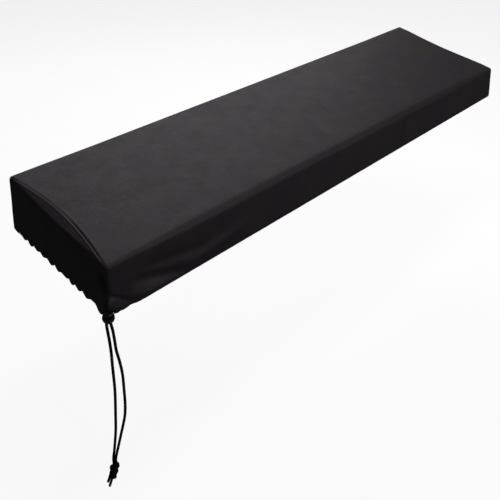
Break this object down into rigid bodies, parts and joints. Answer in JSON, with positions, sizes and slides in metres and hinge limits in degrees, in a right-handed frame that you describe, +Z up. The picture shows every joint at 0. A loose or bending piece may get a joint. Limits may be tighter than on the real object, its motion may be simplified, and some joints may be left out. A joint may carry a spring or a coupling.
{
  "type": "digital piano dust cover",
  "caption": "Stretch cloth dust cover for a digital piano, with sewn end panels, a gathered turned-under hem, and a drawstring with a spring cord lock and a knot at one corner.",
  "frame": {"origin": "underside of the middle of the cover's top, where the piano holds it up", "axes": "+X along the length to the right end, +Y to the back, +Z up"},
  "size_m": [1.3977, 0.3699, 0.5874],
  "materials": {
    "cloth": "matt stretch knit",
    "lock_plastic": "satin moulded plastic",
    "cord": "braided cord"
  },
  "bodies": {
    "cover": {"main_panel": "cloth", "end_left": "cloth", "end_right": "cloth", "lock_body": "lock_plastic", "drawstring_left": "cord", "drawstring_right": "cord", "drawstring_knot": "cord"},
    "lock_button": {"lock_button": "lock_plastic"}
  },
  "joints": [
    {"name": "lock_press", "type": "slide", "parent": "cover", "child": "lock_button", "axis": [0, 0, 1], "range_m": [-0.003, 0], "stiffness_N_per_m": 300, "springref_m": 0.01}
  ]
}
